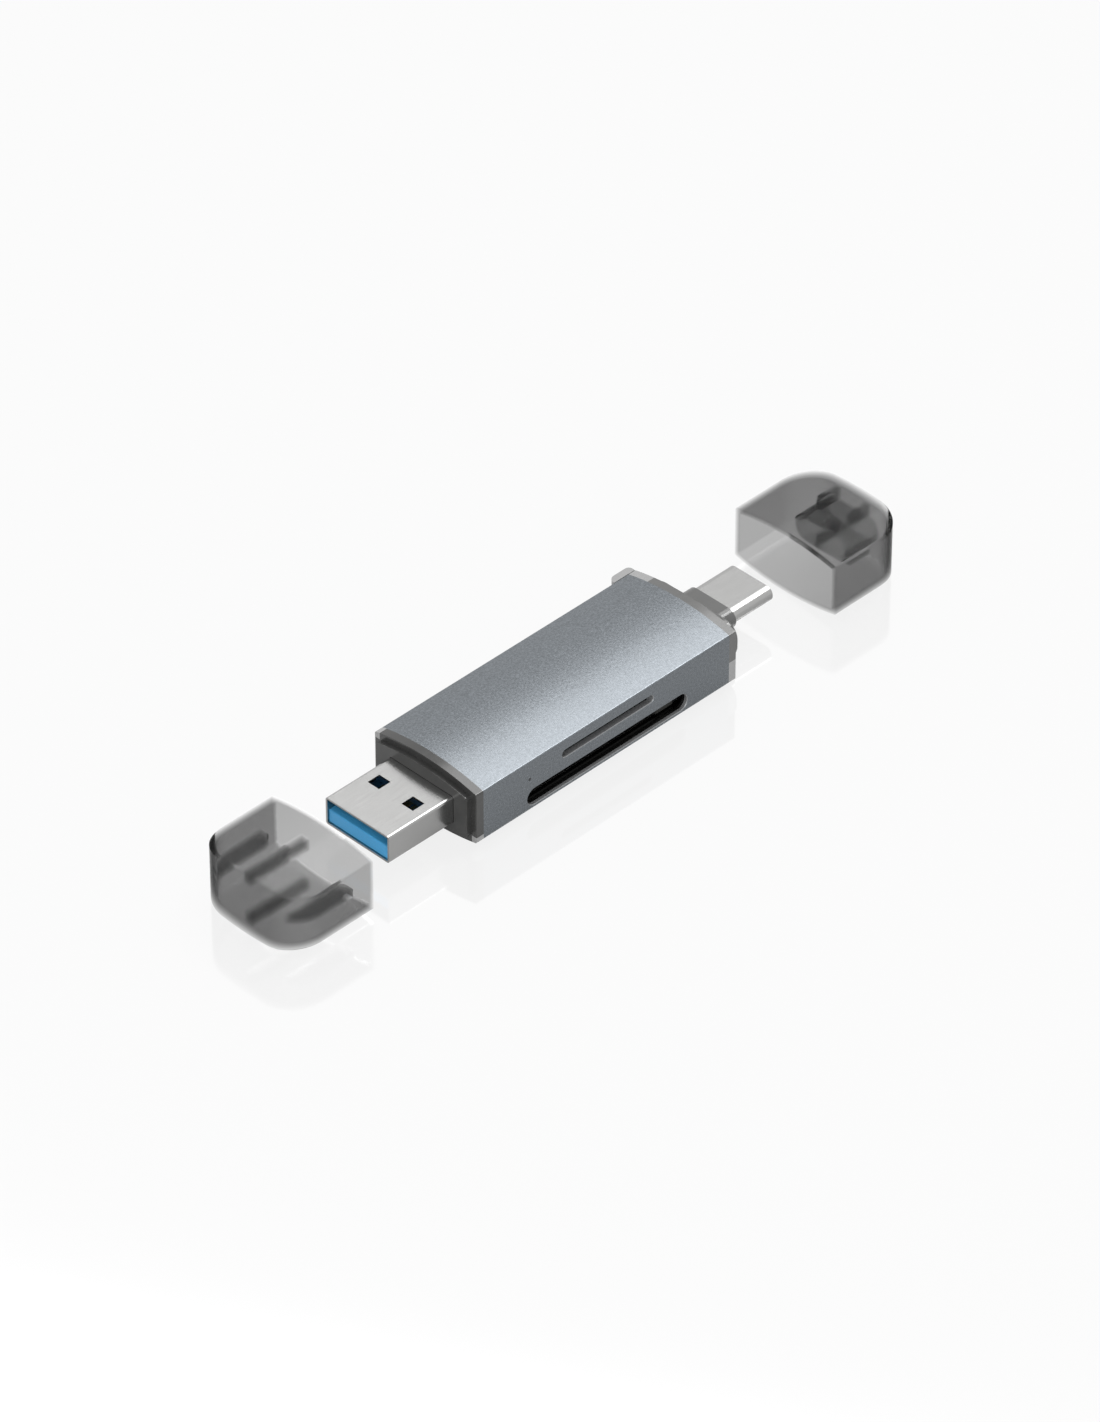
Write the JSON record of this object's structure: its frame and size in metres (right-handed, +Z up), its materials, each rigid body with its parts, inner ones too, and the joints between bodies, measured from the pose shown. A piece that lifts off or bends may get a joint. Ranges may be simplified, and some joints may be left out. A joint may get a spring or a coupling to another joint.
{
  "type": "usb memory card reader",
  "caption": "Pocket card reader with an arched metal shell, a USB-A plug, a USB-C plug, SD and microSD slots in one side, and two smoked pull-off caps with ribs inside.",
  "frame": {"origin": "on the lowest line of the shell's arched underside, under the shell's centre", "axes": "+X along the reader from the USB-A plug to the USB-C plug, +Y to the back side away from the card slots, +Z up"},
  "size_m": [0.1168, 0.0204, 0.0105],
  "materials": {
    "shell_aluminium": "bead-blasted and anodised space grey",
    "frame_smoke": "smoky translucent moulding",
    "cap_smoke": "smoky translucent moulding, polished",
    "plug_steel": "nickel-plated, satin",
    "tongue_blue": "moulded blue",
    "insulator_black": "moulded black",
    "contact_gold": "gold-plated spring alloy",
    "spring_steel": "stamped",
    "socket_steel": "stamped",
    "socket_plastic": "moulded dark grey",
    "board_laminate": "green solder mask",
    "chip_resin": "moulded package",
    "crystal_can": "metal lid",
    "capacitor_ceramic": "fired",
    "resistor_ceramic": "fired, glazed",
    "led_resin": "clear resin on a white foot"
  },
  "bodies": {
    "reader": {"metal_shell": "shell_aluminium", "usb_a_end_frame": "frame_smoke", "usb_c_end_frame": "frame_smoke", "usb_a_plug_shell": "plug_steel", "usb_a_tongue": "tongue_blue", "usb_a_contacts": "contact_gold", "usb_c_plug_shell": "plug_steel", "usb_c_insulator": "insulator_black", "usb_c_contacts": "contact_gold", "usb_c_mid_plate": "spring_steel", "usb_c_ground_springs": "spring_steel", "circuit_board": "board_laminate", "sd_socket_base": "socket_plastic", "sd_socket_contacts": "contact_gold", "sd_detect_springs": "spring_steel", "sd_socket_cover": "socket_steel", "microsd_socket_base": "insulator_black", "microsd_socket_contacts": "contact_gold", "microsd_detect_spring": "spring_steel", "microsd_socket_cover": "socket_steel", "controller_chip": "chip_resin", "voltage_regulator": "chip_resin", "crystal": "crystal_can", "capacitors": "capacitor_ceramic", "resistors": "resistor_ceramic", "status_led": "led_resin"},
    "usb_a_cap": {"usb_a_cap": "cap_smoke"},
    "usb_c_cap": {"usb_c_cap": "cap_smoke"}
  },
  "joints": [
    {"name": "usb_a_cap_slide", "type": "slide", "parent": "reader", "child": "usb_a_cap", "axis": [1, 0, 0], "range_m": [0, 0.01895]},
    {"name": "usb_c_cap_slide", "type": "slide", "parent": "reader", "child": "usb_c_cap", "axis": [-1, 0, 0], "range_m": [0, 0.0197]}
  ]
}
